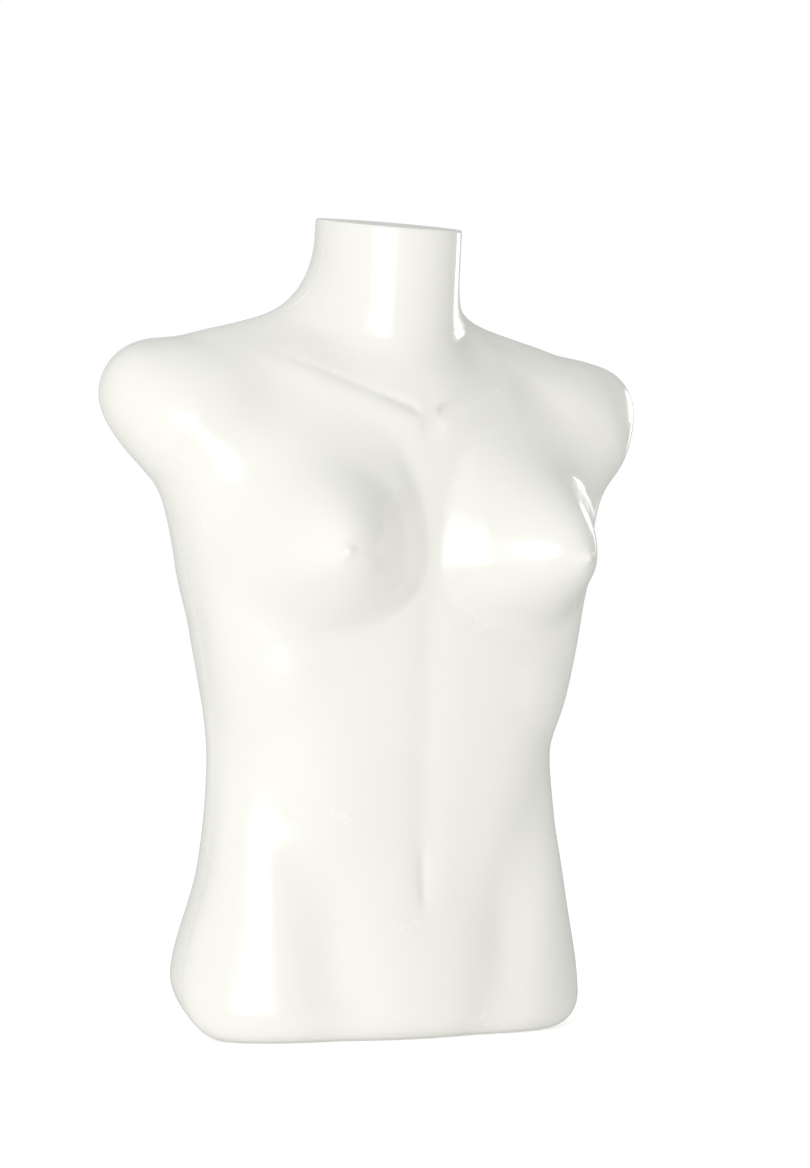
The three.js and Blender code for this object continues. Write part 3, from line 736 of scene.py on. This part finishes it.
# ---------------------------------------------------------------- base hardware
def cross_recess(name, radius, depth):
    """Tapered cross-shaped cutter pointing up, its mouth at z = 0."""
    arm, points = radius * 0.26, []
    for scale, h in ((1.0, -0.4), (0.35, depth)):
        r, w = radius * scale, arm * (0.5 + 0.5 * scale)
        points += [(r, -w, h), (r, w, h), (w, w, h), (w, r, h), (-w, r, h), (-w, w, h),
                   (-r, w, h), (-r, -w, h), (-w, -w, h), (-w, -r, h), (w, -r, h), (w, -w, h)]
    faces = [tuple(range(11, -1, -1)), tuple(range(12, 24))]
    faces += [(j, (j + 1) % 12, 12 + (j + 1) % 12, 12 + j) for j in range(12)]
    return to_object(name, np.array(points) - [0, CENTRE_SHIFT, 0], faces)


def cut(obj, cutter):
    modifier = obj.modifiers.new("cut", "BOOLEAN")
    modifier.operation, modifier.object, modifier.solver = "DIFFERENCE", cutter, "EXACT"
    graph = bpy.context.evaluated_depsgraph_get()
    mesh = bpy.data.meshes.new_from_object(obj.evaluated_get(graph))
    obj.modifiers.clear()
    obj.data = mesh
    mesh.shade_smooth()
    mesh.set_sharp_from_angle(angle=math.radians(35))
    bpy.data.objects.remove(cutter)
    return obj


def joined(name, meshes):
    """One object from copies of meshes, given as (mesh, matrix)."""
    points, faces, count = [], [], 0
    for mesh, matrix in meshes:
        for v in mesh.vertices:
            points.append(matrix @ v.co * 1000 - Vector((0, CENTRE_SHIFT, 0)))
        faces += [tuple(count + i for i in p.vertices) for p in mesh.polygons]
        count += len(mesh.vertices)
    return to_object(name, np.array([tuple(p) for p in points]), faces)


def pan_screw(length):
    """Pan head screw, head down, its seat at z = 0."""
    head = [(0, -PAN_HEAD), (1.6, -2.55), (2.6, -2.35), (3.4, -1.9), (3.85, -1.3), (4.0, -0.7),
            (4.0, -0.1), (3.9, 0), (2.0, 0)]
    thread = thread_profile(0.6, length - 3, 1.65, 2.0, 0.9)
    screw = turned("screw", head + [(1.7, 0.3)] + thread + [(1.5, length - 2.4), (0, length)], 32)
    cutter = cross_recess("recess", 2.2, 1.7)
    return cut(screw, place(cutter, Matrix.Translation((0, 0, -PAN_HEAD / 1000))))


def node_middle(name):
    """Middle and lowest corner of a node's box, in metres."""
    lo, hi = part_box(name)
    return (Vector(lo) + Vector(hi)) / 2, Vector(lo)


def screw_set(name, prefix, count, length):
    """All screws of one kind as one piece, each recess turned its own way."""
    pattern = pan_screw(length)
    copies, nodes = [], []
    for i in range(1, count + 1):
        node = f"{prefix}_{i}"
        mid, low = node_middle(node)
        angle = math.radians(37 * i + 11)
        seat = Matrix.Translation((mid.x, mid.y, low.z + PAN_HEAD / 1000))
        copies.append((pattern.data, seat @ Matrix.Rotation(angle, 4, "Z")))
        nodes.append(node)
    made = joined(name, copies)
    bpy.data.objects.remove(pattern)
    return finished(made, "torso", ZINC, *nodes)


screw_set("base_board_screws", "base_screw", 8, 18)
screw_set("flange_screws", "flange_screw", 4, 12)

socket = Matrix.Translation((0, (SOCKET_Y + CENTRE_SHIFT) / 1000, 0))


def at_socket(obj):
    return place(obj, socket)


flange_top = BOARD_LOW - GAP
flange_low = flange_top - FLANGE_THICK
collar_top = flange_low - GAP
rod_radius = ROD_BORE / 2
tube_radius = TUBE_OUTER / 2
round_tube = tube_radius + SLEEVE_GAP

flange = sleeve("stand_socket_flange", round_tube, FLANGE_OUTER / 2, flange_low, flange_top, 34.5, 0.7)
finished(at_socket(flange), "torso", ZINC, "stand_flange")

tube = sleeve("stand_socket_tube", rod_radius, tube_radius, TUBE_LOW, TUBE_TOP, 80, 0.6, 64)
collar = sleeve("stand_clamp_collar", round_tube, COLLAR_OUTER / 2, TUBE_LOW, collar_top, 20, 1.4)
side_on = Matrix.Translation((0, 0, CLAMP_Z / 1000)) @ Matrix.Rotation(math.pi / 2, 4, "Y")
drill_radius = CLAMP_THREAD / 2 + 0.3
for piece in (tube, collar):
    drill = turned("drill", [(0, 0), (drill_radius, 0), (drill_radius, 40), (0, 40)], 48)
    cut(piece, place(drill, side_on))
finished(at_socket(tube), "torso", STEEL, "socket_tube")
finished(at_socket(collar), "torso", ZINC, "stand_collar")

plug_radius = rod_radius - 0.3
plug = turned("socket_end_plug", rounded([
    (0, TUBE_TOP - 10), (plug_radius, TUBE_TOP - 10), (plug_radius, TUBE_TOP + GAP),
    (tube_radius, TUBE_TOP + GAP), (tube_radius, TUBE_TOP + 3), (0, TUBE_TOP + 3.5),
], 0.8), 64)
finished(at_socket(plug), "torso", BLACK, "socket_plug")

# The thumb screw and its knob lie side on: their heights are distances from the tube's axis.
screw_tip = rod_radius + 0.7
knob_foot = COLLAR_OUTER / 2 + 7
screw_end = knob_foot + KNOB_LENGTH - 3
crest = CLAMP_THREAD / 2
screw = turned("thumb_screw_thread", [
    (0, screw_tip), (crest - 0.9, screw_tip),
    *thread_profile(screw_tip + 0.6, screw_end - 3, crest - 0.55, crest, 1.0),
    (crest - 0.4, screw_end - 0.5), (0, screw_end),
], 48)
finished(at_socket(place(screw, side_on)), "thumb_screw", STEEL, "thumb_screw")

knob_turn = np.linspace(0, 2 * np.pi, 160, endpoint=False)


def knob_loop(radius, h, lobes):
    """One turn round the knob; ten lobes stand out by `lobes` from the hollows between them."""
    r = radius + lobes * (np.abs(np.cos(5 * knob_turn)) ** 0.6 - 1)
    return np.stack([r * np.cos(knob_turn), r * np.sin(knob_turn) - CENTRE_SHIFT, knob_turn * 0 + h], -1)


# Radius, height above the knob's foot, depth of the lobes.
knob_profile = [
    (4.3, 0, 0), (6.8, 0, 0), (7.4, 0.3, 0), (7.6, 1.2, 0), (9.4, 1.8, 0.5), (10.9, 2.5, 1.3),
    (11.7, 3.6, 1.9), (12, 5, 2.1), (12, 9.4, 2.1), (11.7, 10.7, 1.9), (10.9, 11.6, 1.3),
    (9.6, 12, 0.6), (7.2, 12, 0), (6.6, 11.5, 0), (4.9, 11.4, 0), (4.3, 11, 0),
]
knob_rings = [knob_loop(r, knob_foot + h, lobes) for r, h, lobes in knob_profile]
knob = loop_body("thumb_screw_knob", knob_rings)
finished(at_socket(place(knob, side_on)), "thumb_screw", BLACK, "thumb_knob")

for name, material in (
    ("base_board", BOARD), ("batten_front", BOARD), ("batten_back", BOARD),
    ("side_strip_left", STRIP), ("side_strip_right", STRIP),
    ("shoulder_strip_left", STRIP), ("shoulder_strip_right", STRIP),
):
    node = frame["nodes"][name]
    node.data.materials.clear()
    node.data.materials.append(material)


# ---------------------------------------------------------------- stage, light, camera
FLOOR_RADIUS = 9000
LIT_SIDE = 0.95             # strength of the light from all round, on its strongest side
DARK_SIDE = 0.06            # and on its weakest side
MIRRORED_DARK = 0.5         # the weakest side, as the gloss mirrors it
DARK_AZIMUTH = 118          # where the weakest side is, in degrees
DARK_ELEVATION = -32
DARK_TURN = (-0.75, 0.85)   # from strong to weak, as cosines of the angle to that side

VIEW_AZIMUTH = -28.0        # degrees round from straight in front, towards the figure's right
VIEW_DISTANCE = 2.5
EYE_HEIGHT = 0.281          # the middle of the form
LENS = 114                  # millimetres on a 36 mm wide sensor
AIM_RIGHT = 0.0135          # the view is centred a little right of the axis and above its middle
AIM_UP = 0.0216
VIEW_ROLL = math.radians(0.7)


def floor():
    a = np.linspace(0, 2 * np.pi, 96, endpoint=False)
    ring = np.stack([FLOOR_RADIUS * np.cos(a), FLOOR_RADIUS * np.sin(a), a * 0], -1)
    obj = to_object("floor", ring, [tuple(range(96))])
    material, tree, bsdf = new_material("pale_floor")
    tone = ramp(tree, noise(tree, 1.5, 3), [(0.3, (0.93, 0.93, 0.925)), (0.7, (0.95, 0.95, 0.945))])
    tree.links.new(tone, bsdf.inputs["Base Color"])
    bsdf.inputs["Roughness"].default_value = 0.7
    bsdf.inputs["Specular IOR Level"].default_value = 0.1
    bsdf.inputs["Emission Color"].default_value = (1, 1, 1, 1)
    seen = tree.nodes.new("ShaderNodeLightPath").outputs["Is Camera Ray"]
    tree.links.new(spread(tree, seen, 0.25, 0.42, (0, 1)), bsdf.inputs["Emission Strength"])
    obj.data.materials.append(material)
    obj.visible_glossy = False


def direction(azimuth, elevation):
    """Unit vector: azimuth in degrees from straight in front round to the figure's left."""
    a, e = math.radians(azimuth), math.radians(elevation)
    return Vector((math.sin(a) * math.cos(e), -math.cos(a) * math.cos(e), math.sin(e)))


def fade_edges(light):
    """The box is brightest in its middle and dims towards its edges."""
    light.use_nodes = True
    tree = light.node_tree
    place_on_box = tree.nodes.new("ShaderNodeNewGeometry").outputs["Parametric"]
    off_middle = tree.nodes.new("ShaderNodeVectorMath")
    off_middle.operation = "DISTANCE"
    off_middle.inputs[1].default_value = (0.5, 0.5, 0)
    tree.links.new(place_on_box, off_middle.inputs[0])
    dimmed = spread(tree, off_middle.outputs["Value"], 1.4, 0.0, (0.3, 0.56))
    tree.links.new(dimmed, tree.nodes["Emission"].inputs["Strength"])


def softbox(name, azimuth, elevation, distance, width, height, power, aim=(0, 0.012, 0.28)):
    light = bpy.data.lights.new(name, "AREA")
    light.shape, light.size, light.size_y, light.energy = "RECTANGLE", width, height, power
    fade_edges(light)
    obj = bpy.data.objects.new(name, light)
    bpy.context.scene.collection.objects.link(obj)
    out = direction(azimuth, elevation)
    obj.location = Vector(aim) + out * distance
    obj.rotation_euler = out.to_track_quat("Z", "Y").to_euler()
    obj.visible_camera = False
    return obj


def world():
    """Soft light from all round, weaker from the far side of the figure, with a white ground behind."""
    scene_world = bpy.data.worlds.new("studio")
    bpy.context.scene.world = scene_world
    scene_world.use_nodes = True
    tree = scene_world.node_tree
    tree.nodes.clear()
    out = tree.nodes.new("ShaderNodeOutputWorld")
    path = tree.nodes.new("ShaderNodeLightPath")
    coord = tree.nodes.new("ShaderNodeTexCoord")
    facing = tree.nodes.new("ShaderNodeVectorMath")
    facing.operation = "DOT_PRODUCT"
    facing.inputs[1].default_value = direction(DARK_AZIMUTH, DARK_ELEVATION)
    tree.links.new(coord.outputs["Generated"], facing.inputs[0])

    def light(strength, colour=(1.0, 1.0, 0.985, 1)):
        node = tree.nodes.new("ShaderNodeBackground")
        node.inputs["Color"].default_value = colour
        node.inputs["Strength"].default_value = strength
        return node.outputs["Background"]

    def mixed(factor, a, b):
        node = tree.nodes.new("ShaderNodeMixShader")
        tree.links.new(factor, node.inputs[0])
        tree.links.new(a, node.inputs[1])
        tree.links.new(b, node.inputs[2])
        return node.outputs[0]

    dark = spread(tree, facing.outputs["Value"], 0, 1, DARK_TURN)
    shone = mixed(dark, light(LIT_SIDE), light(DARK_SIDE))
    mirrored = mixed(dark, light(LIT_SIDE), light(MIRRORED_DARK))
    seen = light(1.0, (1, 1, 1, 1))
    around = mixed(path.outputs["Is Glossy Ray"], shone, mirrored)
    tree.links.new(mixed(path.outputs["Is Camera Ray"], around, seen), out.inputs["Surface"])


def make_camera():
    camera = bpy.data.objects.new("camera", bpy.data.cameras.new("camera"))
    bpy.context.scene.collection.objects.link(camera)
    camera.data.lens = LENS
    a = math.radians(VIEW_AZIMUTH)
    forward = Vector((-math.sin(a), math.cos(a), 0))
    right = Vector((math.cos(a), math.sin(a), 0))
    up = Vector((0, 0, 1))
    middle = Vector((0, CENTRE_SHIFT / 1000, EYE_HEIGHT))
    eye = middle - forward * VIEW_DISTANCE
    look = (middle + right * AIM_RIGHT + up * AIM_UP - eye).normalized()
    turned_view = look.to_track_quat("-Z", "Y").to_matrix() @ Matrix.Rotation(VIEW_ROLL, 3, "Z")
    camera.matrix_world = Matrix.Translation(eye) @ turned_view.to_4x4()
    return camera


floor()
world()
softbox("main_box", azimuth=-34, elevation=5, distance=2.2, width=1.5, height=1.25, power=14.8)
softbox("side_strip", azimuth=113, elevation=3, distance=0.8, width=0.12, height=0.18, power=0.25,
        aim=(0, 0.012, 0.53))
softbox("back_strip", azimuth=126, elevation=6, distance=1.1, width=0.2, height=0.4, power=0.25,
        aim=(0.1, 0, 0.40))
bpy.context.scene.camera = make_camera()
bpy.context.scene.view_settings.view_transform = "Standard"
